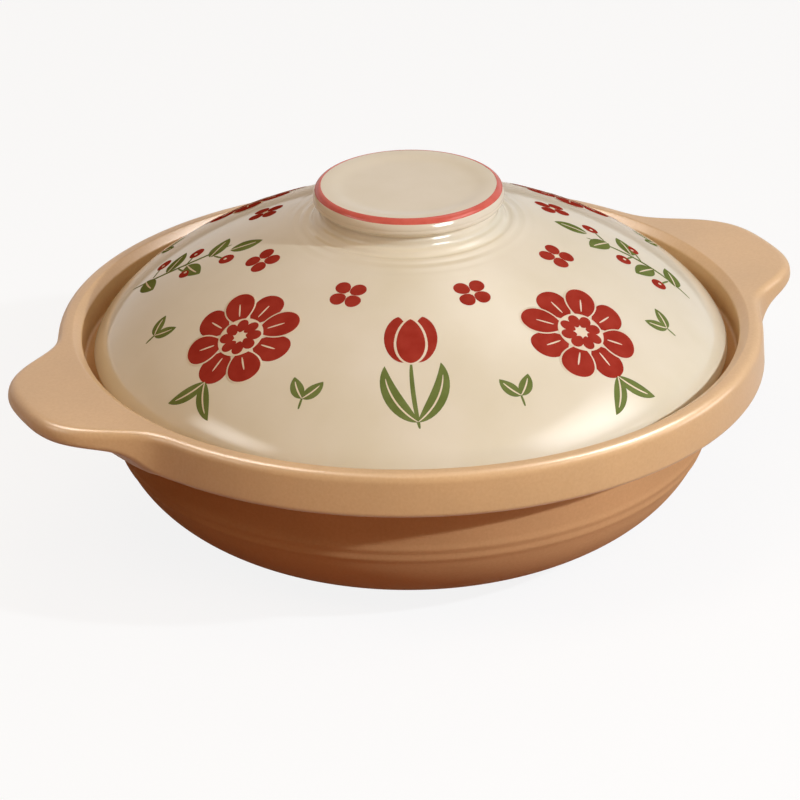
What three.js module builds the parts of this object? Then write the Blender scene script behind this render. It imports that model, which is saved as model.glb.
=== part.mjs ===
// Covered clay pot: a thrown vessel with a sunk lid gallery, two lug handles luted to its collar,
// and a domed lid with a waisted knob. Millimetres, +Z up. The origin is the middle of the foot,
// and X runs through the two handles.
import * as THREE from 'three';

// Vessel: foot and wall
const POT_HEIGHT = 78; // foot to the top of the rim
const FOOT_RADIUS = 70; // outside of the ring that the pot stands on
const FOOT_WIDTH = 16; // width of that flat ring
const FOOT_RECESS = 1.5; // how far the middle of the base is trimmed up
const HEEL_WIDTH = 10; // width of the rounded edge between foot and wall
const HEEL_HEIGHT = 2.8; // height of that rounded edge
const HEEL_ANGLE = 22; // degrees that the wall rises at as it leaves the heel
const HEEL_PULL = 28; // how far the flat run of the wall carries outward
const NECK_LEAN = 6; // degrees that the wall swells outward below the neck
const NECK_PULL = 24; // how far the upright run of the wall carries down
const WALL = 7; // thickness of the wall
const FLOOR = 9; // height of the inside bottom above the foot, in the middle

// Vessel: collar, rim and gallery
const COLLAR_FLARE = 1; // the collar is this much wider at its lower edge than under the rim
const COLLAR_ROUND = 1.6; // rounding of the collar's lower edge
const UNDERCUT_RISE = 3.4; // how far the collar's underside slopes up on its way out from the wall
const UNDERCUT_ROUND = 3; // rounding between that underside and the wall
const RIM_WIDTH = 9; // gallery wall to the outside of the rim
const RIM_ROUND = 3; // radius of the rim's outer edge
const BEVEL_WIDTH = 3.5; // width of the slope from the rim's ridge in to the gallery lip
const BEVEL_DROP = 2.5; // how far that slope falls
const LEDGE_DEPTH = 13.5; // rim top down to the ledge that carries the lid
const LEDGE_WIDTH = 17; // gallery wall in to the edge of the cavity
const LEDGE_THICKNESS = 6.4; // clay between the ledge and the corner under the collar
const LEDGE_ROUND = 1.5; // rounding at both sides of the ledge

// Lug handles
const LUG_REACH = 25.5; // how far a lug stands out from the collar
const LUG_HALF_WIDTH = 35.5; // half its width, where the outline has fallen to about a third of the reach
const LUG_BLUNTNESS = 3.7; // how square the end of the outline is; 2 is a bell curve
const LUG_FEATHER = 0.4; // reach beyond the luting seam at which the outline ends
const LUG_TIP = 7; // thickness near the end
const LUG_ROOT_STEP = 1; // the underside meets the collar this far above its lower edge
const LUG_FLARE = 4; // distance from the collar at which half the thickening underneath is gone
const LUG_NOSE = 3.4; // depth of the rounded edge
const LUG_DROP = 0.4; // the lug's top lies this far under the rim's ridge

// Lid
const LID_RADIUS = 122; // widest line of the lid
const LID_CLEARANCE = 4.5; // gap round the lid inside the gallery
const LID_SKIRT = 4.2; // foot of the lid up to its widest line
const LID_CURL = 3; // how far the skirt curls in to the foot
const LID_WALL = 6; // thickness of the dome
const DOME_RISE = 57.5; // widest line up to the crown
const DOME_FULLNESS = 1.54; // exponent of the dome's curve; 2 is an ellipse

// Knob
const KNOB_RADIUS = 36.3; // upright flange round the top
const KNOB_WAIST = 33.6; // narrowest line of the neck
const KNOB_BASE = 39.5; // where the neck's fillet ends on the dome
const KNOB_BASE_EDGE = 0.8; // thickness of the fillet's edge
const KNOB_NECK = 3; // fillet's edge up to the waist
const KNOB_FLARE = 4.4; // waist up to the flange
const KNOB_FLANGE = 3.2; // height of the flange
const KNOB_SHOULDER = 2.6; // flange up to the top of the lip
const KNOB_LIP = 3; // width of the rounded lip, in from the flange
const DISH_SLOPE = 9; // width of the slope from the lip into the dish
const DISH_DEPTH = 1.2; // depth of the dished top

// Fits between the pieces
const SEAT_GAP = 0.3; // lid foot above the ledge
const LUTING_SEAM = 0.3; // slip joint between a luted piece and what carries it

// Fineness
const TURN_FACETS = 56; // facets round every thrown piece
const LUG_SECTIONS = 25; // sections along a lug

// Heights and radii that follow
const GALLERY_RADIUS = LID_RADIUS + LID_CLEARANCE;
const RIM_RADIUS = GALLERY_RADIUS + RIM_WIDTH;
const COLLAR_RADIUS = RIM_RADIUS + COLLAR_FLARE;
const NECK_RADIUS = GALLERY_RADIUS - LEDGE_WIDTH + WALL;
const LEDGE_TOP = POT_HEIGHT - LEDGE_DEPTH;
const UNDERCUT_CORNER = LEDGE_TOP - LEDGE_THICKNESS;
const COLLAR_BOTTOM = UNDERCUT_CORNER + UNDERCUT_RISE;
const LID_FOOT = LEDGE_TOP + SEAT_GAP;
const LID_WIDEST = LID_FOOT + LID_SKIRT;

const clay = new THREE.MeshStandardMaterial({ color: '#c79566', roughness: 0.45, metalness: 0 });
const glaze = new THREE.MeshStandardMaterial({ color: '#e6d9c0', roughness: 0.15, metalness: 0 });

const at = (radius, height) => new THREE.Vector2(radius, height);

// A point at a distance from another, in a direction given in degrees above the outward radius.
function step(from, distance, degrees) {
  const angle = THREE.MathUtils.degToRad(degrees);
  return at(from.x + distance * Math.cos(angle), from.y + distance * Math.sin(angle));
}

// Part of an ellipse about a centre, between two angles in radians.
function arc(centre, width, height, start, end, steps) {
  return Array.from({ length: steps + 1 }, (_, i) => {
    const angle = THREE.MathUtils.lerp(start, end, i / steps);
    return at(centre.x + width * Math.cos(angle), centre.y + height * Math.sin(angle));
  });
}

// A corner between two neighbours, rounded from a distance before it to the same distance after it.
function rounded(before, corner, after, size, steps = 3) {
  const start = corner.clone().add(before.clone().sub(corner).setLength(size));
  const end = corner.clone().add(after.clone().sub(corner).setLength(size));
  return new THREE.QuadraticBezierCurve(start, corner, end).getPoints(steps);
}

// A profile of radii and heights, thrown round the Z axis.
function thrown(name, profile, material) {
  const geometry = new THREE.LatheGeometry(profile, TURN_FACETS);
  geometry.rotateX(Math.PI / 2);
  const mesh = new THREE.Mesh(geometry, material);
  mesh.name = name;
  return mesh;
}

// The vessel's wall from the heel up to the neck. A parallel curve one wall inside it bounds the cavity.
function wallCurve() {
  const heel = at(FOOT_RADIUS + HEEL_WIDTH, HEEL_HEIGHT);
  const neck = at(NECK_RADIUS, UNDERCUT_CORNER - UNDERCUT_ROUND);
  const heelPull = step(heel, HEEL_PULL, HEEL_ANGLE);
  const neckPull = step(neck, NECK_PULL, NECK_LEAN - 90);
  return new THREE.CubicBezierCurve(heel, heelPull, neckPull, neck);
}

function insideOf(curve, thickness, steps) {
  return Array.from({ length: steps + 1 }, (_, i) => {
    const tangent = curve.getTangent(i / steps);
    const inward = at(-tangent.y, tangent.x);
    return curve.getPoint(i / steps).addScaledVector(inward, thickness);
  });
}

// The vessel's section: base, wall, collar, rim, gallery, ledge, and back down the inside of the wall.
function makeVessel() {
  const wallSteps = 9;
  const wall = wallCurve();
  const outside = wall.getPoints(wallSteps);
  const inside = insideOf(wall, WALL, wallSteps).reverse();
  const heel = outside[0];
  const neck = outside[wallSteps];
  const footInside = FOOT_RADIUS - FOOT_WIDTH;
  const heelCorner = at(FOOT_RADIUS + HEEL_WIDTH / 2, 0);
  const undercut = at(NECK_RADIUS, UNDERCUT_CORNER);
  const collarEdge = at(COLLAR_RADIUS, COLLAR_BOTTOM);
  const rimCentre = at(RIM_RADIUS - RIM_ROUND, POT_HEIGHT - RIM_ROUND);
  const rimSide = at(RIM_RADIUS, rimCentre.y);
  const galleryLip = at(GALLERY_RADIUS, POT_HEIGHT - BEVEL_DROP);
  const galleryCorner = at(GALLERY_RADIUS, LEDGE_TOP);
  const ledgeEdge = at(inside[0].x, LEDGE_TOP);
  return thrown('vessel', [
    at(0, FOOT_RECESS),
    at(footInside - FOOT_RECESS, FOOT_RECESS),
    at(footInside, 0),
    ...new THREE.QuadraticBezierCurve(at(FOOT_RADIUS, 0), heelCorner, heel).getPoints(3),
    ...outside.slice(1, -1),
    ...rounded(neck, undercut, collarEdge, UNDERCUT_ROUND),
    ...rounded(undercut, collarEdge, rimSide, COLLAR_ROUND),
    ...arc(rimCentre, RIM_ROUND, RIM_ROUND, 0, Math.PI / 2, 4),
    at(GALLERY_RADIUS + BEVEL_WIDTH, POT_HEIGHT),
    galleryLip,
    ...rounded(galleryLip, galleryCorner, ledgeEdge, LEDGE_ROUND),
    ...rounded(galleryCorner, ledgeEdge, inside[0], LEDGE_ROUND),
    ...inside,
    at(0, FLOOR),
  ], clay);
}

// Reach of a lug at a distance along the collar: a blunt bell, widest in the middle.
function lugReach(along) {
  return LUG_REACH * Math.exp(-(Math.abs(along / LUG_HALF_WIDTH) ** LUG_BLUNTNESS));
}

// A lug's section at one reach: flat on top, rounded at the edge, thickening underneath towards the
// collar, whose outside it follows one luting seam away.
function lugSection(reach) {
  const top = POT_HEIGHT - LUG_DROP;
  const rootThickness = top - COLLAR_BOTTOM - LUG_ROOT_STEP;
  const underside = (distance) => {
    const extra = (rootThickness - LUG_TIP) / (1 + (distance / LUG_FLARE) ** 2);
    return at(COLLAR_RADIUS + distance, top - LUG_TIP - extra);
  };
  const shoulder = at(RIM_RADIUS - RIM_ROUND, POT_HEIGHT - RIM_ROUND);
  const seam = RIM_ROUND + LUTING_SEAM;
  const seamTop = Math.asin((top - shoulder.y) / seam);
  const noseDepth = Math.min(LUG_NOSE, (reach - LUTING_SEAM) / 2);
  const noseStart = underside(reach - noseDepth);
  const noseMiddle = at(noseStart.x, (noseStart.y + top) / 2);
  const noseHeight = top - noseMiddle.y;
  const rootFoot = underside(LUTING_SEAM);
  const undersideSteps = 5;
  const run = reach - noseDepth - LUTING_SEAM;
  const belly = Array.from({ length: undersideSteps - 1 }, (_, i) =>
    underside(LUTING_SEAM + run * (i + 1) / undersideSteps));
  return [
    rootFoot,
    ...belly,
    ...arc(noseMiddle, noseDepth, noseHeight, -Math.PI / 2, Math.PI / 2, 6),
    ...arc(shoulder, seam, seam, seamTop, 0, 3),
  ];
}

// Skins a row of sections of equal length, each a closed ring of points, and caps both ends.
function skinned(sections, outline) {
  const ring = outline.length;
  const faces = [];
  for (let s = 0; s + 1 < sections.length; s += 1) {
    for (let k = 0; k < ring; k += 1) {
      const here = s * ring + k;
      const next = s * ring + (k + 1) % ring;
      faces.push(here, here + ring, next, next, here + ring, next + ring);
    }
  }
  const last = (sections.length - 1) * ring;
  for (const [a, b, c] of THREE.ShapeUtils.triangulateShape(outline, [])) {
    faces.push(a, b, c, last + a, last + c, last + b);
  }
  const geometry = new THREE.BufferGeometry();
  const positions = sections.flat().flatMap((point) => point.toArray());
  geometry.setAttribute('position', new THREE.Float32BufferAttribute(positions, 3));
  geometry.setIndex(faces);
  geometry.computeVertexNormals();
  return geometry;
}

// One lug, turned to its side of the pot.
function makeLug(name, turn) {
  const endReach = LUTING_SEAM + LUG_FEATHER;
  const endAlong = LUG_HALF_WIDTH * Math.log(LUG_REACH / endReach) ** (1 / LUG_BLUNTNESS);
  const sections = Array.from({ length: LUG_SECTIONS }, (_, i) => {
    const along = THREE.MathUtils.lerp(-endAlong, endAlong, i / (LUG_SECTIONS - 1));
    const angle = along / COLLAR_RADIUS;
    return lugSection(lugReach(along)).map((point) =>
      new THREE.Vector3(point.x * Math.cos(angle), point.x * Math.sin(angle), point.y));
  });
  const mesh = new THREE.Mesh(skinned(sections, lugSection(endReach)), clay);
  mesh.name = name;
  mesh.rotation.z = turn;
  return mesh;
}

// A stretch of the dome's curve, from an angle of 0 at the widest line to a right angle at the crown.
function domeArc(radius, rise, start, end, steps) {
  const power = 2 / DOME_FULLNESS;
  return Array.from({ length: steps + 1 }, (_, i) => {
    const angle = THREE.MathUtils.lerp(start, end, i / steps);
    const outward = Math.max(Math.cos(angle) - Number.EPSILON, 0) ** power;
    return at(radius * outward, LID_WIDEST + rise * Math.sin(angle) ** power);
  });
}

// The part of the dome that the knob sits on, from the knob's edge in to the axis.
const KNOB_EDGE_ANGLE = Math.acos((KNOB_BASE / LID_RADIUS) ** (DOME_FULLNESS / 2));
const crown = domeArc(LID_RADIUS, DOME_RISE, KNOB_EDGE_ANGLE, Math.PI / 2, 4);

// The lid's section: down the inside of the dome, across the foot, round the skirt, and up to the crown.
function makeDome() {
  const insideRadius = LID_RADIUS - LID_WALL;
  const inside = domeArc(insideRadius, DOME_RISE - LID_WALL, 0, Math.PI / 2, 11).reverse();
  const curlCentre = at(LID_RADIUS - LID_CURL, LID_WIDEST);
  return thrown('lid_dome', [
    ...inside,
    at(insideRadius, LID_FOOT),
    ...arc(curlCentre, LID_CURL, LID_SKIRT, -Math.PI / 2, 0, 3),
    ...domeArc(LID_RADIUS, DOME_RISE, 0, KNOB_EDGE_ANGLE, 10).slice(1),
    ...crown.slice(1),
  ], glaze);
}

// The knob's section: out along its seat on the crown, up the waisted neck and the flange, over the
// lip, into the dish.
function makeKnob() {
  const seat = crown.map((point) => at(point.x, point.y + LUTING_SEAM)).reverse();
  const base = seat[seat.length - 1];
  const edge = at(base.x, base.y + KNOB_BASE_EDGE);
  const waist = at(KNOB_WAIST, edge.y + KNOB_NECK);
  const flange = at(KNOB_RADIUS, waist.y + KNOB_FLARE);
  const halfway = (waist.y + flange.y) / 2;
  const lipCentre = at(KNOB_RADIUS - KNOB_LIP, flange.y + KNOB_FLANGE);
  const lip = at(lipCentre.x, lipCentre.y + KNOB_SHOULDER);
  const dish = at(lip.x - DISH_SLOPE, lip.y - DISH_DEPTH);
  const fillet = new THREE.QuadraticBezierCurve(edge, at(KNOB_WAIST, edge.y), waist);
  const flare = new THREE.CubicBezierCurve(
    waist, at(waist.x, halfway), at(flange.x, halfway), flange);
  const slope = new THREE.CubicBezierCurve(
    lip, at((lip.x + dish.x) / 2, lip.y), at((lip.x + dish.x) / 2, dish.y), dish);
  return thrown('lid_knob', [
    ...seat,
    ...fillet.getPoints(3),
    ...flare.getPoints(3).slice(1),
    ...arc(lipCentre, KNOB_LIP, KNOB_SHOULDER, 0, Math.PI / 2, 3),
    ...slope.getPoints(3).slice(1),
    at(0, dish.y),
  ], glaze);
}

const pot = new THREE.Group();
pot.add(makeVessel(), makeLug('handle_right', 0), makeLug('handle_left', Math.PI));

const lid = new THREE.Group();
lid.add(makeDome(), makeKnob());

const coveredPot = new THREE.Group();
coveredPot.add(pot, lid);

export default coveredPot;
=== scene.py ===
"""A covered clay pot: a satin tan body with two lug handles, and a glossy cream lid with printed flowers.

Sizes are in millimetres, and become metres where a mesh, lamp or camera is made. +Z is up, X runs through
the two handles, and the origin is the middle of the foot.
"""
import math

import bpy
import numpy as np
from mathutils import Matrix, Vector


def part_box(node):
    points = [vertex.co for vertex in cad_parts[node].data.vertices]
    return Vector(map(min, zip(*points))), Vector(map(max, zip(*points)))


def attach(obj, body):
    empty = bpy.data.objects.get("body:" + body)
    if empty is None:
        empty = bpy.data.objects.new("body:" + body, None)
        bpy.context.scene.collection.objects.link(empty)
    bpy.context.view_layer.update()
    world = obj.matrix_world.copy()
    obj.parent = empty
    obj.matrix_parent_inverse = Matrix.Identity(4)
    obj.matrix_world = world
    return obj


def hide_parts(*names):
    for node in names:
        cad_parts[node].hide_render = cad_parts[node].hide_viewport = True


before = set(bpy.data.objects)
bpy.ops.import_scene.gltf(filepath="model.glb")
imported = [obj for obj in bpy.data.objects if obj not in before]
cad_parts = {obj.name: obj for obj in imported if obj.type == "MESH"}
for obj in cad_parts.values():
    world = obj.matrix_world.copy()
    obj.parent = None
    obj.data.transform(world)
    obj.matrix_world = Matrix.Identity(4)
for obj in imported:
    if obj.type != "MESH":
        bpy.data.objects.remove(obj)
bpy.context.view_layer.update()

MM = 0.001  # metres in a millimetre


def highest(node):
    """Highest corner of a solid, in millimetres."""
    return np.array(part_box(node)[1]) / MM


def lowest(node):
    """Lowest corner of a solid, in millimetres."""
    return np.array(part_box(node)[0]) / MM


# Sizes that the frame gives
COLLAR_RADIUS, _, POT_HEIGHT = highest("vessel")
LUG_END, _, LUG_TOP = highest("handle_right")
LID_RADIUS, _, LID_CROWN = highest("lid_dome")
LID_FOOT = lowest("lid_dome")[2]

# Strokes of the print, and the line on the knob: thin lenses of enamel, partly sunk in the glaze
STROKE_HALF = 0.05  # half the thickness of a stroke
STROKE_LIFT = 0.4  # height of its middle over the glaze, in half thicknesses
LAYER_LIFT = 0.8  # height of each layer of strokes over the one below, in half thicknesses
LEAST_BEND = 1e-6  # radians; every stroke is an arc, so its bend is never 0
NEAR_ZERO = 1e-9  # share of a stroke's length at which its outline starts
KNOB_TOP = highest("lid_knob")[2] - (STROKE_LIFT + 1) * STROKE_HALF  # leaves room for the line on its lip

# Foot and wall of the pot
FOOT_RADIUS = 70.0
FOOT_WIDTH = 16.0
FOOT_RECESS = 1.5
FOOT_EASE = 1.0  # the flat of the foot stops this far from its edges
HEEL_WIDTH = 10.0
HEEL_HEIGHT = 2.8
HEEL_ANGLE = math.radians(22)  # rise of the wall as it leaves the heel
HEEL_PULL = 28.0  # how far the wall's curve is drawn along that rise
NECK_LEAN = math.radians(6)  # swell of the wall below the neck
NECK_PULL = 24.0  # how far the wall's curve is drawn along that swell
WALL = 7.0
BASE_HEIGHT = 9.0  # height of the bottom inside
FLAT_SHARE = 0.8  # share of its radius over which the bottom inside, or the knob's dish, is level
RING_HEIGHTS = np.array([33.0, 37.6])  # soft rings that the thrower's fingers left on the wall
RING_WIDTH = 1.6
RING_RISE = 0.45

# Collar, rim and gallery
COLLAR_FLARE = 1.0
COLLAR_ROUND = 2.0
UNDERCUT_RISE = 3.4
UNDERCUT_ROUND = 3.0
RIM_WIDTH = 9.0
RIM_ROUND = 3.6
RIDGE_ROUND = 0.5
BEVEL_WIDTH = 3.5
BEVEL_DROP = 2.5
LIP_ROUND = 0.7
LEDGE_DEPTH = 13.5
LEDGE_WIDTH = 17.0
LEDGE_THICKNESS = 6.4
LEDGE_ROUND = 1.5
GALLERY_RADIUS = COLLAR_RADIUS - COLLAR_FLARE - RIM_WIDTH
RIDGE_RADIUS = GALLERY_RADIUS + BEVEL_WIDTH
NECK_RADIUS = GALLERY_RADIUS - LEDGE_WIDTH + WALL
LEDGE_TOP = POT_HEIGHT - LEDGE_DEPTH
UNDERCUT_CORNER = LEDGE_TOP - LEDGE_THICKNESS
COLLAR_BOTTOM = UNDERCUT_CORNER + UNDERCUT_RISE

# Lug handles
LUG_REACH = LUG_END - COLLAR_RADIUS
LUG_DROP = POT_HEIGHT - LUG_TOP
LUG_SETTLE = 8.0  # distance over which the top falls from the ridge to the level of the lugs
LUG_HALF_WIDTH = 35.5
LUG_BLUNTNESS = 3.7
LUG_TIP = 7.0
LUG_FLARE = 4.0
LUG_NOSE = 3.2
LUG_EDGE_ROUND = 3.8

# Lid and knob
LID_SKIRT = 4.2
LID_CURL = 3.0
LID_WALL = 6.0
LID_FOOT_ROUND = 1.0
DOME_FULLNESS = 1.54
DOME_MARGIN = 0.05  # the print stops this far inside the widest line, where the dome stands upright
LID_WIDEST = LID_FOOT + LID_SKIRT
DOME_RISE = LID_CROWN - LID_WIDEST
KNOB_RADIUS = 36.3
KNOB_WAIST = 33.6
KNOB_FILLET = 40.0
KNOB_APPROACH = 16.0  # stretch of dome before the fillet that the finger rings run out on
KNOB_FLARE = 3.8
KNOB_FLANGE = 0.6
KNOB_SHOULDER = 4.2
KNOB_LIP = 3.0
DISH_SLOPE = 11.0
DISH_DEPTH = 0.9
RIPPLE_SPACING = 4.4  # rings left by the fingers round the neck of the knob
RIPPLE_RISE = 0.42
RIPPLE_MIDDLE = 5.0  # distance below the waist at which the rings are strongest
RIPPLE_REACH = 8.5
KNOB_LINE_WIDTH = 3.3
KNOB_LINE_PLACE = 0.69  # from the knob's widest line, at 0, to the top of its lip, at 1

# Layout of the print
LARGE_MOTIFS = 8
LARGE_RADIUS = 89.0
LARGE_SIZE = 1.15
FLORET_RADIUS = 60.0
LEAF_PAIR_RADIUS = 104.0
RIB_SHARE = 0.8  # length of a leaf's midrib over that of the leaf
RIB_HALF_WIDTH = 0.32

# Fineness of the meshes
POT_COLUMNS = 468
POT_CROWDING = 0.35  # share by which the pot's columns stand closer together at the lugs
LID_COLUMNS = 420
LINE_SIDES = 28
PETAL_RINGS = 18
PETAL_SIDES = 24
MERIDIAN_STEPS = 4000

# Feature sizes of the materials' patterns, and depths of their relief
DRIFT_SIZE = 45.0
GRAIN_SIZE = 1.1
GRAIN_DEPTH = 0.06
TURNING_SIZE = 2.4
TURNING_STRETCH = 20.0  # length of a turning line over its width
TURNING_DEPTH = 0.12
CLOUD_SIZE = 38.0
WAVER_SIZE = 16.0
WAVER_DEPTH = 0.2
INK_SIZE = 7.0
NOISE_RANGE = {"From Min": 0.3, "From Max": 0.7}  # nearly all values of a noise lie here
SLIP_HEIGHTS = (UNDERCUT_CORNER - 1.0, COLLAR_BOTTOM)  # where the slip begins and is full, up the wall
SLIP_RADII = (GALLERY_RADIUS - LEDGE_ROUND, GALLERY_RADIUS - 0.2)  # and out from the ledge

# Colours
BARE_CLAY = "#dab284"
TAN_SLIP = "#dab889"
SAND = "#ac7848"
GLAZE_THIN = "#e0d8c0"
GLAZE_THICK = "#e8e1cf"
INKS = {"red": ("#a83c30", "#9c3227"), "green": ("#76854b", "#69783f"), "pale": ("#eadfcb", "#e6d9c2")}
LINE_RED = ("#d9695a", "#cf5849")
WHITE = "#ffffff"
FLOOR_BOUNCE = "#8c4a26"
WARM_FILL = "#ffd2a0"

# Surroundings
FLOOR_HALF = 4000.0
FLOOR_DROP = 0.2
FLOOR_GLOW = 0.15  # share of the floor's white that no shadow darkens
FLOOR_GLOW_SEEN = 0.72  # and what the camera sees on top of that
LAMP_DISTANCE = 1500.0

# Soft boxes: name, degrees to the right of the view, elevation, width and height, level, colour, the kind of
# rays that see it, and the pieces that it lights
LAMPS = (
    ("key", 63, 31, (70, 70), 0.6, "#eef6ff", "matte", "not_pot"),  # crisp shadow of the knob on the lid
    ("pot_key", 50, 29.5, (70, 70), 0.47, "#f8f6f4", "matte", "pot"),  # crisp shadow under the collar
    ("front_fill", 34, 40, (700, 500), 0.11, WHITE, "matte", "all"),
    ("low_fill", 36, 2, (600, 260), 0.085, "#ffe6cf", "matte", "all"),  # reaches under the collar
    ("left_fill", -46, 50, (900, 700), 0.21, "#ffe4c8", "matte", "all"),
    ("overhead", 10, 78, (1100, 1100), 0.1, "#ffd8ac", "matte", "all"),
    ("back_fill", 170, 50, (900, 600), 0.06, "#ffefe0", "matte", "all"),
    ("right_box", 73, 36, (1350, 760), 0.54, WHITE, "gloss", "all"),  # broad gloss on the lid's right
    ("left_box", -70, 31, (1000, 420), 0.2, WHITE, "gloss", "all"),
    ("back_box", 142, 63, (900, 900), 0.14, WHITE, "gloss", "all"),
    ("rim_right", 106, 54, (560, 800), 1.3, WHITE, "gloss", "pot"),  # bright lines along the pot's edges
    ("rim_left", -108, 62, (800, 800), 0.8, WHITE, "gloss", "pot"),
    ("rim_top", 0, 77, (900, 500), 0.16, WHITE, "gloss", "pot"),
    ("back_low", 178, 10, (1100, 600), 0.2, "#ffefe0", "matte", "pot"),  # keeps the back from going dark
    ("side_fill", 88, 14, (600, 400), 0.19, "#eef4ff", "matte", "pot"),  # cool light on the wall
    ("collar_sheen", 100, 11, (900, 560), 0.3, WHITE, "gloss", "pot"),
    ("window", 40, 11, (700, 560), 1.6, WHITE, "gloss", "lid"),  # glints on the rings round the knob's neck
)

# View of the photograph
LENS = 184.0
SENSOR = 36.0
VIEW_AZIMUTH = -26.54  # degrees round the pot, 0 being a view along +Y
VIEW_ELEVATION = 24.57  # degrees of the camera above the middle of the rim
VIEW_DISTANCE = 1575.0
VIEW_YAW = -0.18  # degrees that the camera is turned off the middle of the rim
VIEW_PITCH = 25.72  # degrees that it looks down
VIEW_ROLL = -0.90
VIEW_CLIP = (50.0, 50000.0)  # nearest and farthest distance that it sees


def bezier(corners, steps):
    """A Bezier curve: the sum of its corners, each times its Bernstein weight. Corners are (radius, height)
    pairs, and each number may be an array with one value for each column of the surface."""
    corners = [np.stack(np.broadcast_arrays(*corner)) for corner in corners]
    corners = np.stack(np.broadcast_arrays(*[np.atleast_2d(c.T).T for c in corners]))
    t = np.linspace(0, 1, steps)
    degree = len(corners) - 1
    weights = np.stack([math.comb(degree, i) * t**i * (1 - t) ** (degree - i) for i in range(degree + 1)])
    return np.einsum("is,icn->scn", weights, corners)


def towards(start, end, distance):
    """The point at a distance from one point in the direction of another."""
    dr, dz = end[0] - start[0], end[1] - start[1]
    length = np.hypot(dr, dz)
    return start[0] + dr / length * distance, start[1] + dz / length * distance


def rounded(before, corner, after, size, steps=7):
    """A corner rounded by a parabola that starts and ends one size away from it."""
    return bezier([towards(corner, before, size), corner, towards(corner, after, size)], steps)


def pushed(section, push):
    """A section moved along its own normal, to the right of its direction, by a distance for each point."""
    tangent = np.gradient(section, axis=0)
    tangent /= np.linalg.norm(tangent, axis=1, keepdims=True)
    normal = np.stack([tangent[:, 1], -tangent[:, 0]], axis=1)
    return section + normal * push


def joined(parts, columns):
    """One section from parts in order, each spread over all the columns."""
    return np.concatenate([np.broadcast_to(part, (len(part), 2, columns)) for part in parts])


def round_axis(radius, angle, height):
    """Points at radii, angles and heights round the Z axis."""
    return np.stack([radius * np.cos(angle), radius * np.sin(angle), height], axis=-1)


def new_piece(name, points, faces, material):
    """A smooth mesh object at the origin, from points in millimetres and lists of faces."""
    mesh = bpy.data.meshes.new(name)
    mesh.from_pydata((points * MM).tolist(), [], [face for block in faces for face in block.tolist()])
    mesh.polygons.foreach_set("use_smooth", np.ones(len(mesh.polygons), bool))
    mesh.materials.append(material)
    mesh.update()
    piece = bpy.data.objects.new(name, mesh)
    bpy.context.scene.collection.objects.link(piece)
    return piece


def ring_quads(rings, sides, rows):
    """Rows of quads, each between a ring of points and the next. The first ring follows the last."""
    ring, side = np.meshgrid(np.arange(rows), np.arange(sides), indexing="ij")
    next_ring, next_side = (ring + 1) % rings, (side + 1) % sides
    corners = [ring * sides + side, ring * sides + next_side,
               next_ring * sides + next_side, next_ring * sides + side]
    return np.stack(corners, axis=-1).reshape(-1, 4)


def capped_faces(rings, sides):
    """Faces of a closed skin whose points are rings of equal length and then its first and last pole: quads
    between neighbouring rings, and a fan of triangles at each pole."""
    here = np.arange(sides)
    after = (here + 1) % sides
    first_pole = np.full(sides, rings * sides)
    last = (rings - 1) * sides
    fans = np.concatenate([np.stack([first_pole, after, here], axis=-1),
                           np.stack([first_pole + 1, last + here, last + after], axis=-1)])
    return ring_quads(rings, sides, rings - 1), fans


def thrown(name, section, angle, material):
    """A surface thrown round the Z axis: a section of radii and heights, with one column for each angle,
    which starts and ends on the axis."""
    rings = section[1:-1]
    points = round_axis(rings[:, 0], angle, rings[:, 1]).reshape(-1, 3)
    poles = np.array([[0, 0, section[0, 1, 0]], [0, 0, section[-1, 1, 0]]])
    return new_piece(name, np.concatenate([points, poles]), capped_faces(len(rings), len(angle)), material)


def lug_reach(angle):
    """Reach of the lugs beyond the collar: the greatest reach times exp(-|along / half width| ^ bluntness),
    with along measured round the collar from the nearer end of the X axis."""
    along = np.arcsin(np.abs(np.sin(angle))) * COLLAR_RADIUS
    return LUG_REACH * np.exp(-(along / LUG_HALF_WIDTH) ** LUG_BLUNTNESS)


def underside_height(radius):
    """Height of the collar's underside, and beyond the collar of a lug's: a slope, and then the lug's top
    less a thickness that falls from the collar's to the tip's as 1 / (1 + (distance / flare)^2)."""
    under_collar = UNDERCUT_CORNER + UNDERCUT_RISE * (radius - NECK_RADIUS) / (COLLAR_RADIUS - NECK_RADIUS)
    beyond = np.maximum(radius - COLLAR_RADIUS, 0)
    extra = (LUG_TOP - COLLAR_BOTTOM - LUG_TIP) / (1 + (beyond / LUG_FLARE) ** 2)
    return np.where(beyond > 0, LUG_TOP - LUG_TIP - extra, under_collar)


def top_height(radius):
    """Height of the rim's top outside its ridge, which settles to the level of the lugs: the pot's height
    less the drop times (1 - exp(-distance from the ridge / settle))."""
    return POT_HEIGHT - LUG_DROP * (1 - np.exp(-(radius - RIDGE_RADIUS) / LUG_SETTLE))


def wall_corners():
    """Corners of the Bezier curve that the outside of the wall follows from the heel up to the neck."""
    heel = (FOOT_RADIUS + HEEL_WIDTH, HEEL_HEIGHT)
    neck = (NECK_RADIUS, UNDERCUT_CORNER - UNDERCUT_ROUND)
    heel_pull = (heel[0] + HEEL_PULL * math.cos(HEEL_ANGLE), heel[1] + HEEL_PULL * math.sin(HEEL_ANGLE))
    neck_pull = (neck[0] + NECK_PULL * math.sin(NECK_LEAN), neck[1] - NECK_PULL * math.cos(NECK_LEAN))
    return heel, heel_pull, neck_pull, neck


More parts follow.
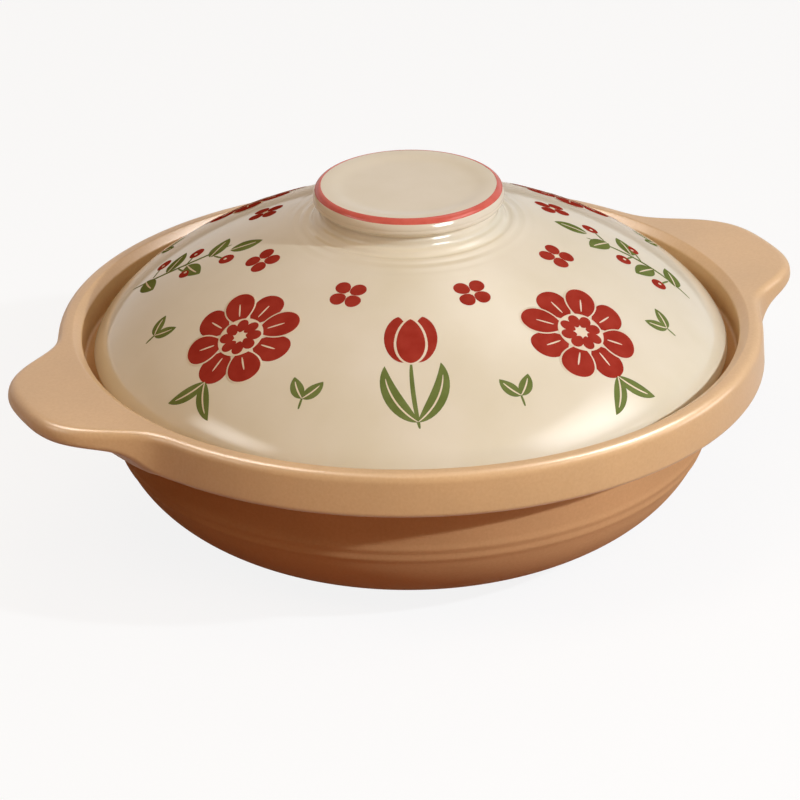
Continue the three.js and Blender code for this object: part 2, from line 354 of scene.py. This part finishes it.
def pot_section(angle):
    """The pot's section at each angle, from the middle of the base out, up the wall, round the collar or a
    lug, over the rim, down the gallery, across the ledge and down the inside to the middle of its bottom.
    The finger rings on the wall are bells, rise * exp(-(height from the ring / width)^2)."""
    foot_inside = FOOT_RADIUS - FOOT_WIDTH
    heel, *_, neck = wall_corners()
    wall = bezier(wall_corners(), steps=70)
    finger_rings = np.exp(-((wall[:, 1:] - RING_HEIGHTS) / RING_WIDTH) ** 2).sum(axis=-1)[:, None]
    undercut = (NECK_RADIUS, UNDERCUT_CORNER)
    reach = lug_reach(angle)
    on_lug = reach / LUG_REACH
    edge = COLLAR_RADIUS + reach
    edge_low = (edge, underside_height(edge))
    edge_high = (edge - COLLAR_FLARE, top_height(edge - COLLAR_FLARE))
    low_round = COLLAR_ROUND + (LUG_NOSE - COLLAR_ROUND) * on_lug
    high_round = RIM_ROUND + (LUG_EDGE_ROUND - RIM_ROUND) * on_lug
    under_start, under_end = NECK_RADIUS + UNDERCUT_ROUND, edge - low_round
    under = np.linspace(under_start, under_end, num=26)
    past_undercut = under_start + UNDERCUT_ROUND
    top_start, top_end = edge_high[0] - high_round, RIDGE_RADIUS + RIDGE_ROUND
    top = np.linspace(top_start, top_end, num=14)
    ridge = (RIDGE_RADIUS, POT_HEIGHT)
    lip = (GALLERY_RADIUS, POT_HEIGHT - BEVEL_DROP)
    gallery_corner = (GALLERY_RADIUS, LEDGE_TOP)
    inside = pushed(bezier(wall_corners(), steps=26), -WALL)[::-1]
    ledge_edge = (inside[0, 0, 0], LEDGE_TOP)
    below_ledge = (inside[0, 0, 0], inside[0, 1, 0])
    return joined([
        bezier([(0, FOOT_RECESS), (foot_inside - 2 * FOOT_RECESS, FOOT_RECESS)], steps=4),
        bezier([(foot_inside - FOOT_RECESS, FOOT_RECESS), (foot_inside, 0)], steps=4),
        bezier([(foot_inside + FOOT_EASE, 0), (FOOT_RADIUS - FOOT_EASE, 0)], steps=4),
        bezier([(FOOT_RADIUS, 0), (FOOT_RADIUS + HEEL_WIDTH / 2, 0), heel], steps=8),
        pushed(wall, RING_RISE * finger_rings)[1:-1],
        rounded(neck, undercut, (past_undercut, underside_height(past_undercut)), UNDERCUT_ROUND)[:-1],
        np.stack([under, underside_height(under)], axis=1)[:-1],
        bezier([(under_end, underside_height(under_end)), edge_low,
                towards(edge_low, edge_high, low_round)], steps=9),
        rounded(edge_low, edge_high, (top_start, top_height(top_start)), high_round, steps=13)[:-1],
        np.stack([top, top_height(top)], axis=1)[:-1],
        rounded((top_end, top_height(top_end)), ridge, lip, RIDGE_ROUND),
        rounded(ridge, lip, gallery_corner, LIP_ROUND),
        rounded(lip, gallery_corner, ledge_edge, LEDGE_ROUND),
        rounded(gallery_corner, ledge_edge, below_ledge, LEDGE_ROUND),
        inside[1:],
        bezier([(inside[-1, 0, 0] * FLAT_SHARE, BASE_HEIGHT), (0, BASE_HEIGHT)], steps=5),
    ], len(angle))


def dome_height(radius):
    """Height of the lid's outside: widest line + rise * (1 - (radius / lid radius)^n)^(1 / n)."""
    share = np.clip(1 - (radius / LID_RADIUS) ** DOME_FULLNESS, 0, 1)
    return LID_WIDEST + DOME_RISE * share ** (1 / DOME_FULLNESS)


def dome_arc(radius, rise, end, steps):
    """The dome's curve, from its widest line up to an angle: radius * cos(t)^(2 / n), and widest line +
    rise * sin(t)^(2 / n)."""
    t = np.linspace(0, end, steps)
    power = 2 / DOME_FULLNESS
    outward = np.clip(np.cos(t), 0, 1) ** power
    return np.stack([radius * outward, LID_WIDEST + rise * np.sin(t) ** power], axis=-1)[..., None]


def knob_lip(t):
    """The knob's rounded edge: a quarter of an ellipse, from its widest line at 0 to the lip's top at 1."""
    turn = np.asarray(t) * math.pi / 2
    radius = KNOB_RADIUS - KNOB_LIP + KNOB_LIP * np.cos(turn)
    return radius, KNOB_TOP - KNOB_SHOULDER + KNOB_SHOULDER * np.sin(turn)


def knob_section():
    """The knob's section: a fillet up from the dome, a waist, the flare, the upright flange, the rounded lip
    and the shallow dish, with finger rings as a cosine round the neck that fades in a bell."""
    flange = (KNOB_RADIUS, KNOB_TOP - KNOB_SHOULDER - KNOB_FLANGE)
    waist = (KNOB_WAIST, flange[1] - KNOB_FLARE)
    halfway = (waist[1] + flange[1]) / 2
    lip = (KNOB_RADIUS - KNOB_LIP, KNOB_TOP)
    dish = (lip[0] - DISH_SLOPE, KNOB_TOP - DISH_DEPTH)
    middle = (lip[0] + dish[0]) / 2
    radius = np.linspace(KNOB_FILLET + KNOB_APPROACH, KNOB_FILLET, num=14)
    approach = np.stack([radius, dome_height(radius)], axis=-1)[:-1, :, None]
    fillet = bezier([(KNOB_FILLET, dome_height(KNOB_FILLET)), (KNOB_WAIST, dome_height(KNOB_WAIST)), waist],
                    steps=16)
    neck = np.concatenate([
        approach,
        fillet,
        bezier([waist, (waist[0], halfway), (flange[0], halfway), flange], steps=14)[1:],
        bezier([flange, (KNOB_RADIUS, KNOB_TOP - KNOB_SHOULDER)], steps=8)[1:],
    ])
    along = np.cumsum(np.linalg.norm(np.diff(neck, axis=0, prepend=neck[:1]), axis=1))
    at_waist = along[len(approach) + len(fillet) - 1]
    from_middle = along - at_waist + RIPPLE_MIDDLE
    ripple = np.cos(2 * math.pi * from_middle / RIPPLE_SPACING) * np.exp(-(from_middle / RIPPLE_REACH) ** 2)
    return [
        pushed(neck, RIPPLE_RISE * ripple[:, None, None])[:-1],
        np.stack(knob_lip(np.linspace(0, 1, num=14)), axis=-1)[..., None],
        bezier([lip, (middle, lip[1]), (middle, dish[1]), dish], steps=12)[1:],
        bezier([(dish[0] * FLAT_SHARE, dish[1]), (0, dish[1])], steps=5),
    ]


def lid_section(columns):
    """The lid's section: from the middle of the inside down to the foot, across it, round the skirt, which
    is a quarter of an ellipse, up the dome and over the knob to the middle of its dish."""
    inside_radius = LID_RADIUS - LID_WALL
    inside = dome_arc(inside_radius, DOME_RISE - LID_WALL, math.pi / 2, steps=40)[::-1]
    foot = (inside_radius, LID_FOOT)
    turn = np.linspace(-math.pi / 2, 0, num=12)
    skirt_radius = LID_RADIUS - LID_CURL + LID_CURL * np.cos(turn)
    skirt = np.stack([skirt_radius, LID_WIDEST + LID_SKIRT * np.sin(turn)], axis=-1)[..., None]
    knob_start = KNOB_FILLET + KNOB_APPROACH
    dome_end = math.acos((knob_start / LID_RADIUS) ** (DOME_FULLNESS / 2))
    return joined([
        inside[:-1],
        rounded((inside_radius, LID_WIDEST), foot, (LID_RADIUS, LID_FOOT), LID_FOOT_ROUND),
        skirt,
        dome_arc(LID_RADIUS, DOME_RISE, dome_end, steps=100)[1:-1],
        *knob_section(),
    ], columns)


def on_dome(right, up, radius, azimuth, lift):
    """Lays flat print on the dome: up runs along the meridian from a radius, right runs round the parallel,
    and lift is along the outward normal."""
    fine = np.linspace(LID_RADIUS - DOME_MARGIN, 0, MERIDIAN_STEPS)
    heights = dome_height(fine)
    along = np.concatenate([[0], np.cumsum(np.hypot(np.diff(fine), np.diff(heights)))])
    r = np.interp(np.interp(-radius, -fine, along) + up, along, fine)
    slope = np.interp(-r, -fine, np.gradient(heights, fine))
    steep = np.hypot(1, slope)
    return round_axis(r - slope / steep * lift, azimuth + right / r, dome_height(r) + lift / steep)


def ahead(distance, heading, right=0.0, up=0.0):
    """The point at a distance from another along a heading, in degrees clockwise from up."""
    turn = math.radians(heading)
    return right + distance * math.sin(turn), up + distance * math.cos(turn)


def petal(right, up, heading, length, half_width, widest=1.0, point=0.5, bend=0.0, layer=0):
    """One stroke of the print: where it starts, its heading in degrees clockwise from up, its length and
    half width, where it is widest (1 the middle, less nearer its start), how pointed it is (0.5 an ellipse,
    1 a leaf), the degrees that it bends through, and the layer that it lies in."""
    bend = math.radians(bend) + LEAST_BEND
    return right, up, math.radians(heading), length, half_width, widest, point, bend, layer


def petal_points(strokes, radius, azimuth, size):
    """Closed lens-shaped shells for strokes. Along a stroke u runs from 0 to 1 on an arc of a circle. Across
    it the half width is W * (4 q (1 - q))^point with q = u^widest. Round it the section is (half width *
    cos s, lift - half thickness * sin s), which turns the faces outwards."""
    table = np.array(strokes, float)[..., None, None]
    right, up, heading, length, half_width, widest, point, bend, layer = np.moveaxis(table, 1, 0)
    right, up, length, half_width = size * right, size * up, size * length, size * half_width
    u = 0.5 - 0.5 * np.cos(np.linspace(0, math.pi, PETAL_RINGS + 2))[None, :, None]
    s = np.linspace(0, 2 * math.pi, PETAL_SIDES, endpoint=False)[None, None, :]
    q = np.clip(u, NEAR_ZERO, 1) ** widest
    across = half_width * np.clip(4 * q * (1 - q), 0, 1) ** point * np.cos(s)
    turned = heading + bend * u
    x = right + length / bend * (np.cos(heading) - np.cos(turned)) + across * np.cos(turned)
    y = up + length / bend * (np.sin(turned) - np.sin(heading)) - across * np.sin(turned)
    swell = np.sin(s) * np.sqrt(np.clip(4 * u * (1 - u), 0, 1))
    return on_dome(x, y, radius, azimuth, STROKE_HALF * (STROKE_LIFT + LAYER_LIFT * layer - swell))


def printed(name, placed, material):
    """One piece of the print: all the strokes of one colour, as (strokes, radius, azimuth, size) groups."""
    shells = np.concatenate([petal_points(*group) for group in placed])
    rings = shells[:, 1:-1].reshape(len(shells), -1, 3)
    poles = np.stack([shells[:, 0, 0], shells[:, -1, 0]], axis=1)
    points = np.concatenate([rings, poles], axis=1)
    quads, fans = capped_faces(PETAL_RINGS, PETAL_SIDES)
    start = (np.arange(len(shells)) * points.shape[1])[:, None, None]
    faces = [(quads[None] + start).reshape(-1, 4), (fans[None] + start).reshape(-1, 3)]
    return new_piece(name, points.reshape(-1, 3), faces, material)


def leaves(*placed):
    """Green blades and pale midribs of leaves, given as (right, up, heading, length, half width, bend)."""
    blades, ribs = [], []
    for right, up, heading, length, half_width, bend in placed:
        blades.append(petal(right, up, heading, length, half_width, widest=0.85, point=0.9, bend=bend))
        ribs.append(petal(right, up, heading, length * RIB_SHARE, RIB_HALF_WIDTH, point=0.4,
                          bend=bend * RIB_SHARE, layer=1))
    return blades, ribs


def daisy():
    """A double daisy seen from above: eight broad veined petals, every other one over its neighbours with a
    pale outline, eight short petals on a pale disc and a pale eye, with two slender leaves below it."""
    petals = 8
    step = 360 / petals
    red, pale = [], []
    for k in range(petals):
        turn, over = step * k, 2 * (k % 2)
        red.append(petal(*ahead(6.2, turn), turn, 13.2, 5.4, widest=1.35, layer=over))
        if over:
            pale.append(petal(*ahead(5.7, turn), turn, 14.2, 6.0, widest=1.35, layer=1))
        pale.append(petal(*ahead(9.2, turn), turn, 5.6, 0.3, point=0.4, layer=over + 1))
        red.append(petal(*ahead(2.0, turn), turn + step / 2, 5.4, 2.0, widest=1.25, layer=4))
    disc = petal(0, -7.9, 0, 15.8, 7.9, layer=3)
    eye = petal(0, -1.4, 0, 2.8, 1.4, layer=5)
    blades, ribs = leaves((0, -19, 158, 15, 2.4, -34), (0, -19, 202, 15, 2.4, 34))
    return {"red": red, "green": blades, "pale": [*pale, disc, eye, *ribs]}


def tulip():
    """A tulip seen from the side: a cup of three petals, the middle one over a pale outline, a stem and two
    long leaves."""
    cup = {"widest": 0.8, "point": 0.7}
    red = [petal(-1.5, 1, -24, 19, 4.6, bend=34, **cup), petal(1.5, 1, 24, 19, 4.6, bend=-34, **cup),
           petal(0, 0.6, 0, 18, 4.6, layer=2, **cup)]
    outline = petal(0, 0, 0, 19.4, 5.5, layer=1, **cup)
    stem = petal(0, 0.5, 180, 24, 0.75, point=0.3, bend=-12)
    blades, ribs = leaves((2, -21, -58, 24, 2.9, 62), (2, -21, 52, 24, 2.9, -66))
    return {"red": red, "green": [stem, *blades], "pale": [outline, *ribs]}


def berry_twig():
    """A curved twig with broad leaves, and round berries with a pale glint on short stalks."""
    leaf_places = ((-5.2, -13, 78), (-1.4, -4, -52), (1.6, 4, 76), (3.6, 12.5, -48), (4.7, 20, 12))
    berry_places = ((-4.2, -10, -62), (0.2, 0.4, 66), (1.2, 3.2, -58), (4.0, 14, 58))
    blades, pale = leaves(*[(*place, 11.5, 3.3, -12) for place in leaf_places])
    green, red = [petal(-7, -19, 28, 41, 0.6, point=0.3, bend=-34), *blades], []
    for right, up, heading in berry_places:
        green.append(petal(right, up, heading, 5.5, 0.4, point=0.3))
        red.append(petal(*ahead(4.6, heading, right, up), heading, 5.6, 2.8))
        pale.append(petal(*ahead(6.2, heading, right, up), heading, 1.2, 0.6, layer=1))
    return {"red": red, "green": green, "pale": pale}


def floret():
    """A small flower of four round petals with a pale eye."""
    red = [petal(*ahead(0.9, turn), turn, 6.4, 3.0, widest=1.2) for turn in (45, 135, 225, 315)]
    return {"red": red, "green": [], "pale": [petal(0, -1.1, 0, 2.2, 1.1, layer=1)]}


def leaf_pair():
    """Two small leaves that part from one short stalk."""
    stalk = petal(0, -4.5, 0, 5, 0.45, point=0.3)
    blades, ribs = leaves((0, 0, -48, 10, 2.6, 26), (0, 0, 48, 10, 2.6, -26))
    return {"red": [], "green": [stalk, *blades], "pale": ribs}


def print_rings():
    """The print as evenly spaced rings round the lid: large motifs, and small ones halfway between them."""
    front = math.radians(VIEW_AZIMUTH - 90)
    large = (tulip(), daisy(), berry_twig(), daisy())
    step = 2 * math.pi / LARGE_MOTIFS
    placed = {"red": [], "green": [], "pale": []}
    for k in range(LARGE_MOTIFS):
        on, gap = front + k * step, front + (k + 0.5) * step
        for motif, radius, azimuth, size in ((large[k % len(large)], LARGE_RADIUS, on, LARGE_SIZE),
                                             (floret(), FLORET_RADIUS, gap, 1.0),
                                             (leaf_pair(), LEAF_PAIR_RADIUS, gap, 1.0)):
            for colour, strokes in motif.items():
                if strokes:
                    placed[colour].append((strokes, radius, azimuth, size))
    return placed


def knob_line(angle, material):
    """The red line round the knob's lip: a closed ring whose section is a thin lens bent round the lip. A
    brush leaves its width a little uneven: times 1 + 0.05 sin(3 angle + 0.6) + 0.03 sin(7 angle)."""
    s = np.linspace(0, 2 * math.pi, LINE_SIDES, endpoint=False)[:, None]
    uneven = 1 + 0.05 * np.sin(3 * angle + 0.6) + 0.03 * np.sin(7 * angle)
    quarter = math.pi / 2 * math.sqrt((KNOB_LIP**2 + KNOB_SHOULDER**2) / 2)
    along = KNOB_LINE_PLACE + 0.5 * KNOB_LINE_WIDTH / quarter * uneven * np.cos(s)
    lift = STROKE_HALF * (STROKE_LIFT - np.sin(s))
    radius, height = knob_lip(along)
    turn = along * math.pi / 2
    normal_r, normal_z = np.cos(turn) / KNOB_LIP, np.sin(turn) / KNOB_SHOULDER
    length = np.hypot(normal_r, normal_z)
    points = round_axis(radius + lift * normal_r / length, angle, height + lift * normal_z / length)
    faces = ring_quads(LINE_SIDES, len(angle), LINE_SIDES)
    return new_piece("knob_line", points.reshape(-1, 3), [faces], material)


def linear(hex_colour):
    """An sRGB hex colour as linear RGBA."""
    srgb = np.array([int(hex_colour[i:i + 2], 16) for i in (1, 3, 5)]) / 255
    rgb = np.where(srgb <= 0.04045, srgb / 12.92, ((srgb + 0.055) / 1.055) ** 2.4)
    return (*rgb.tolist(), 1.0)


def add(tree, kind, inputs=None, **settings):
    """Adds a node with its settings, and gives each named input a value or a link from another node."""
    node = tree.nodes.new(kind)
    for name, value in settings.items():
        setattr(node, name, value)
    for name, value in (inputs or {}).items():
        if isinstance(value, bpy.types.NodeSocket):
            tree.links.new(value, node.inputs[name])
        else:
            node.inputs[name].default_value = value
    return node


def new_material(name):
    """An empty material, with its node tree and its output node."""
    material = bpy.data.materials.new(name)
    material.use_nodes = True
    tree = material.node_tree
    tree.nodes.clear()
    return material, tree, add(tree, "ShaderNodeOutputMaterial")


def per_metre(size):
    """Scale of a pattern whose features are this many millimetres across."""
    return 1 / (size * MM)


def between(tree, value, ends):
    """A value as a share of the way from one length in millimetres to another."""
    start, end = ends
    return add(tree, "ShaderNodeMapRange", {"Value": value, "From Min": start * MM,
                                            "From Max": end * MM}).outputs["Result"]


def clay_under_slip():
    """Fired clay, bare and dull on the wall and where the lid rests, and under a burnished tan slip on the
    collar, rim and lugs, which gives satin highlights along the edges: a fine sandy grain, faint turning
    lines and a slow drift of colour."""
    material, tree, output = new_material("clay_under_slip")
    place = add(tree, "ShaderNodeTexCoord").outputs["Object"]
    height = add(tree, "ShaderNodeSeparateXYZ", {"Vector": place}).outputs["Z"]
    level = add(tree, "ShaderNodeVectorMath", {0: place, 1: (1, 1, 0)}, operation="MULTIPLY")
    radius = add(tree, "ShaderNodeVectorMath", {0: level.outputs[0]}, operation="LENGTH").outputs["Value"]
    above = between(tree, height, SLIP_HEIGHTS)
    outside = between(tree, radius, SLIP_RADII)
    slip = add(tree, "ShaderNodeMath", {0: above, 1: outside}, operation="MULTIPLY").outputs[0]
    drift = add(tree, "ShaderNodeTexNoise", {"Vector": place, "Scale": per_metre(DRIFT_SIZE), "Detail": 3.0})
    grain = add(tree, "ShaderNodeTexNoise", {"Vector": place, "Scale": per_metre(GRAIN_SIZE), "Detail": 4.0})
    squash = (1 / TURNING_STRETCH, 1 / TURNING_STRETCH, 1.0)
    flat = add(tree, "ShaderNodeMapping", {"Vector": place, "Scale": squash})
    turning = add(tree, "ShaderNodeTexNoise", {"Vector": flat.outputs["Vector"],
                                               "Scale": per_metre(TURNING_SIZE), "Detail": 2.0})
    coat = add(tree, "ShaderNodeMix", {"Factor": slip, "A": linear(BARE_CLAY), "B": linear(TAN_SLIP)},
               data_type="RGBA")
    clouds = add(tree, "ShaderNodeMapRange", {**NOISE_RANGE, "Value": drift.outputs["Fac"],
                                              "To Min": 0.93, "To Max": 1.03})
    tone = add(tree, "ShaderNodeVectorMath", {0: coat.outputs["Result"], "Scale": clouds.outputs["Result"]},
               operation="SCALE")
    speck = add(tree, "ShaderNodeMapRange", {**NOISE_RANGE, "Value": grain.outputs["Fac"],
                                             "To Min": 0.0, "To Max": 0.14})
    colour = add(tree, "ShaderNodeMix", {"Factor": speck.outputs["Result"], "A": tone.outputs["Vector"],
                                         "B": linear(SAND)}, data_type="RGBA")
    shine = add(tree, "ShaderNodeMapRange", {"Value": slip, "To Min": 0.02, "To Max": 0.55})
    dullness = add(tree, "ShaderNodeMapRange", {"Value": slip, "To Min": 0.6, "To Max": 0.31})
    lines = add(tree, "ShaderNodeBump", {"Height": turning.outputs["Fac"], "Strength": 0.25,
                                         "Distance": TURNING_DEPTH * MM})
    bump = add(tree, "ShaderNodeBump", {"Height": grain.outputs["Fac"], "Strength": 0.25,
                                        "Distance": GRAIN_DEPTH * MM, "Normal": lines.outputs["Normal"]})
    shader = add(tree, "ShaderNodeBsdfPrincipled", {"Base Color": colour.outputs["Result"],
                                                    "Specular IOR Level": shine.outputs["Result"],
                                                    "Roughness": dullness.outputs["Result"],
                                                    "Normal": bump.outputs["Normal"]})
    tree.links.new(shader.outputs["BSDF"], output.inputs["Surface"])
    return material


def uneven_coat(tree, place, noise, thin, thick):
    """Colour of a coat of uneven thickness: noise with a feature size and detail, ramped from the colour
    where the coat is thin to the one where it is thick, each with its position on the ramp."""
    size, detail = noise
    clouds = add(tree, "ShaderNodeTexNoise", {"Vector": place, "Scale": per_metre(size), "Detail": detail})
    tone = add(tree, "ShaderNodeValToRGB", {"Fac": clouds.outputs["Fac"]})
    for stop, (position, colour) in zip(tone.color_ramp.elements, (thin, thick)):
        stop.position = position
        stop.color = linear(colour)
    return tone.outputs["Color"]


def cream_glaze():
    """Stoneware under a clear gloss glaze with a cream body: sharp reflections that waver with the glaze's
    uneven thickness, and slow clouds where it lies thicker."""
    material, tree, output = new_material("cream_glaze")
    place = add(tree, "ShaderNodeTexCoord").outputs["Object"]
    cream = uneven_coat(tree, place, (CLOUD_SIZE, 3.0), (0.3, GLAZE_THIN), (0.72, GLAZE_THICK))
    waver = add(tree, "ShaderNodeTexNoise", {"Vector": place, "Scale": per_metre(WAVER_SIZE), "Detail": 2.0})
    bump = add(tree, "ShaderNodeBump", {"Height": waver.outputs["Fac"], "Strength": 0.2,
                                        "Distance": WAVER_DEPTH * MM})
    shader = add(tree, "ShaderNodeBsdfPrincipled", {"Base Color": cream, "Specular IOR Level": 0.4,
                                                    "Roughness": 0.1, "Normal": bump.outputs["Normal"]})
    tree.links.new(shader.outputs["BSDF"], output.inputs["Surface"])
    return material


def print_enamel(name, thin, thick, gloss=0.0):
    """Ceramic ink fired onto the glaze: dense and dull beside it, with a slightly uneven coat."""
    material, tree, output = new_material(name)
    place = add(tree, "ShaderNodeTexCoord").outputs["Object"]
    ink = uneven_coat(tree, place, (INK_SIZE, 4.0), (0.35, thin), (0.65, thick))
    shader = add(tree, "ShaderNodeBsdfPrincipled", {"Base Color": ink, "Specular IOR Level": gloss,
                                                    "Roughness": 0.15})
    tree.links.new(shader.outputs["BSDF"], output.inputs["Surface"])
    return material


def seen_directly(tree):
    """1 for rays that show the background itself: from the camera, a mirror or glass."""
    path = add(tree, "ShaderNodeLightPath")
    either = add(tree, "ShaderNodeMath", {0: path.outputs["Is Camera Ray"],
                                          1: path.outputs["Is Glossy Ray"]}, operation="MAXIMUM")
    return add(tree, "ShaderNodeMath", {0: either.outputs[0], 1: path.outputs["Is Transmission Ray"]},
               operation="MAXIMUM").outputs[0]


def pale_floor():
    """A plain pale table: near white where it is looked at, with the pot's shadow, and a warm brown bounce
    on the pot."""
    material, tree, output = new_material("pale_floor")
    white = add(tree, "ShaderNodeEmission", {"Color": linear(WHITE), "Strength": 1.0})
    shaded = add(tree, "ShaderNodeBsdfDiffuse", {"Color": linear(WHITE)})
    path = add(tree, "ShaderNodeLightPath")
    glow = add(tree, "ShaderNodeMath", {0: path.outputs["Is Camera Ray"], 1: FLOOR_GLOW_SEEN, 2: FLOOR_GLOW},
               operation="MULTIPLY_ADD")
    looked_at = add(tree, "ShaderNodeMixShader", {0: glow.outputs[0], 1: shaded.outputs[0],
                                                  2: white.outputs[0]})
    bounce = add(tree, "ShaderNodeBsdfDiffuse", {"Color": linear(FLOOR_BOUNCE)})
    both = add(tree, "ShaderNodeMixShader", {0: seen_directly(tree), 1: bounce.outputs[0],
                                             2: looked_at.outputs[0]})
    tree.links.new(both.outputs[0], output.inputs["Surface"])
    return material


def make_floor():
    """A wide flat square just under the foot."""
    corners = np.array([[-1, -1, 0], [1, -1, 0], [1, 1, 0], [-1, 1, 0]]) * FLOOR_HALF - [0, 0, FLOOR_DROP]
    floor = new_piece("floor", corners, [np.array([[0, 1, 2, 3]])], pale_floor())


def make_world():
    """A white surround for the eye, and a soft warm fill for the pot."""
    world = bpy.data.worlds.new("surround")
    world.use_nodes = True
    bpy.context.scene.world = world
    tree = world.node_tree
    tree.nodes.clear()
    fill = add(tree, "ShaderNodeBackground", {"Color": linear(WARM_FILL), "Strength": 0.17})
    white = add(tree, "ShaderNodeBackground", {"Color": linear(WHITE), "Strength": 1.0})
    both = add(tree, "ShaderNodeMixShader", {0: seen_directly(tree), 1: fill.outputs[0],
                                             2: white.outputs[0]})
    add(tree, "ShaderNodeOutputWorld", {"Surface": both.outputs[0]})


def direction(azimuth, elevation):
    """Unit vector towards an azimuth, 0 being -Y and 90 being +X, and an elevation, both in degrees."""
    a, e = math.radians(azimuth), math.radians(elevation)
    return np.array([math.sin(a) * math.cos(e), -math.cos(a) * math.cos(e), math.sin(e)])


def set_place(item, place, right, up, back):
    """Puts a lamp or camera at a place in millimetres, with its own axes given."""
    matrix = np.eye(4)
    matrix[:3, :3] = np.stack([right, up, back], axis=1)
    matrix[:3, 3] = place * MM
    item.matrix_world = Matrix(matrix.tolist())


def soften_edges(lamp):
    """Fades a soft box towards its edges, so that its reflection has no hard outline: 6 t (1 - t) across it
    times the same along it, which keeps its mean at 1."""
    lamp.use_nodes = True
    tree = lamp.node_tree
    tree.nodes.clear()
    place = add(tree, "ShaderNodeNewGeometry").outputs["Parametric"]
    falling = add(tree, "ShaderNodeVectorMath", {0: place, 1: (-6, -6, -6), 2: (6, 6, 6)},
                  operation="MULTIPLY_ADD")
    hump = add(tree, "ShaderNodeVectorMath", {0: place, 1: falling.outputs[0]}, operation="MULTIPLY")
    both = add(tree, "ShaderNodeSeparateXYZ", {0: hump.outputs[0]})
    strength = add(tree, "ShaderNodeMath", {0: both.outputs["X"], 1: both.outputs["Y"]},
                   operation="MULTIPLY")
    glow = add(tree, "ShaderNodeEmission", {"Strength": strength.outputs[0]})
    add(tree, "ShaderNodeOutputLight", {"Surface": glow.outputs[0]})


def add_lamp(name, right_of_view, elevation, size, level, colour, seen_by):
    """A soft box, placed to the right of the view by so many degrees, that faces the pot. Its level is the
    brightness that it gives a white surface that faces it, so its power is level * (pi * distance)^2. It is
    seen by matte rays or by gloss rays."""
    lamp = bpy.data.lights.new(name, "AREA")
    lamp.shape = "RECTANGLE"
    lamp.size, lamp.size_y = size[0] * MM, size[1] * MM
    lamp.color = linear(colour)[:3]
    lamp.energy = level * (math.pi * LAMP_DISTANCE * MM) ** 2
    soften_edges(lamp)
    box = bpy.data.objects.new(name, lamp)
    back = direction(VIEW_AZIMUTH + right_of_view, elevation)
    right = np.cross([0, 0, 1], back)
    right /= np.linalg.norm(right)
    middle = np.array([0, 0, POT_HEIGHT])
    set_place(box, middle + back * LAMP_DISTANCE, right, np.cross(back, right), back)
    box.visible_diffuse = seen_by == "matte"
    box.visible_glossy = seen_by == "gloss"
    box.visible_camera = False
    bpy.context.scene.collection.objects.link(box)
    return box


def light_group(name, piece, state):
    """A group for lamps that light one piece alone, with INCLUDE, or all but that piece, with EXCLUDE."""
    group = bpy.data.collections.new(name)
    group.objects.link(piece)
    group.collection_objects[0].light_linking.link_state = state
    return group


def make_lamps(pot, lid):
    """The lamps of the table: a small key for crisp shadows, one for the pot and one for everything else,
    soft fill from all sides, and boxes for the gloss, some of which light the pot or the lid alone."""
    groups = {"pot": light_group("pot_alone", pot, "INCLUDE"),
              "not_pot": light_group("not_pot", pot, "EXCLUDE"),
              "lid": light_group("lid_alone", lid, "INCLUDE")}
    for *settings, lights in LAMPS:
        box = add_lamp(*settings)
        if lights != "all":
            box.light_linking.receiver_collection = groups[lights]


def make_camera():
    """The photograph's view: a long lens, turned round the pot by the view's azimuth."""
    camera = bpy.data.cameras.new("camera")
    camera.lens, camera.sensor_width = LENS, SENSOR
    camera.clip_start, camera.clip_end = VIEW_CLIP[0] * MM, VIEW_CLIP[1] * MM
    item = bpy.data.objects.new("camera", camera)
    bpy.context.scene.collection.objects.link(item)
    forward = -direction(VIEW_AZIMUTH - VIEW_YAW, VIEW_PITCH)
    level = np.cross(forward, [0, 0, 1])
    level /= np.linalg.norm(level)
    upright = np.cross(level, forward)
    roll = math.radians(VIEW_ROLL)
    right = math.cos(roll) * level + math.sin(roll) * upright
    up = math.cos(roll) * upright - math.sin(roll) * level
    place = np.array([0, 0, POT_HEIGHT]) + direction(VIEW_AZIMUTH, VIEW_ELEVATION) * VIEW_DISTANCE
    set_place(item, place, right, up, -forward)
    bpy.context.scene.camera = item


def make_pot(clay):
    """The pot and its lugs in one skin, whose columns stand closer together at the lugs: angle = turn -
    crowding / 2 * sin(2 turn)."""
    turn = np.linspace(0, 2 * math.pi, POT_COLUMNS, endpoint=False)
    angle = turn - POT_CROWDING / 2 * np.sin(2 * turn)
    pot = thrown("pot_body", pot_section(angle), angle, clay)
    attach(pot, "pot")
    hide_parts("vessel", "handle_left", "handle_right")
    return pot


def make_lid(glaze):
    """The lid and its knob in one skin, and the red line brushed round the knob."""
    angle = np.linspace(0, 2 * math.pi, LID_COLUMNS, endpoint=False)
    lid = thrown("lid", lid_section(LID_COLUMNS), angle, glaze)
    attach(lid, "lid")
    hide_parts("lid_dome", "lid_knob")
    line = knob_line(angle, print_enamel("brushed_red_line", *LINE_RED, gloss=0.2))
    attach(line, "lid")
    return lid


def make_print():
    """The flowers on the lid, in one piece for each ink."""
    for colour, placed in print_rings().items():
        piece = printed("print_" + colour, placed, print_enamel(colour + "_ink", *INKS[colour]))
        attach(piece, "lid")


make_camera()
make_floor()
make_world()
make_lamps(make_pot(clay_under_slip()), make_lid(cream_glaze()))
make_print()
bpy.context.scene.view_settings.view_transform = "Standard"
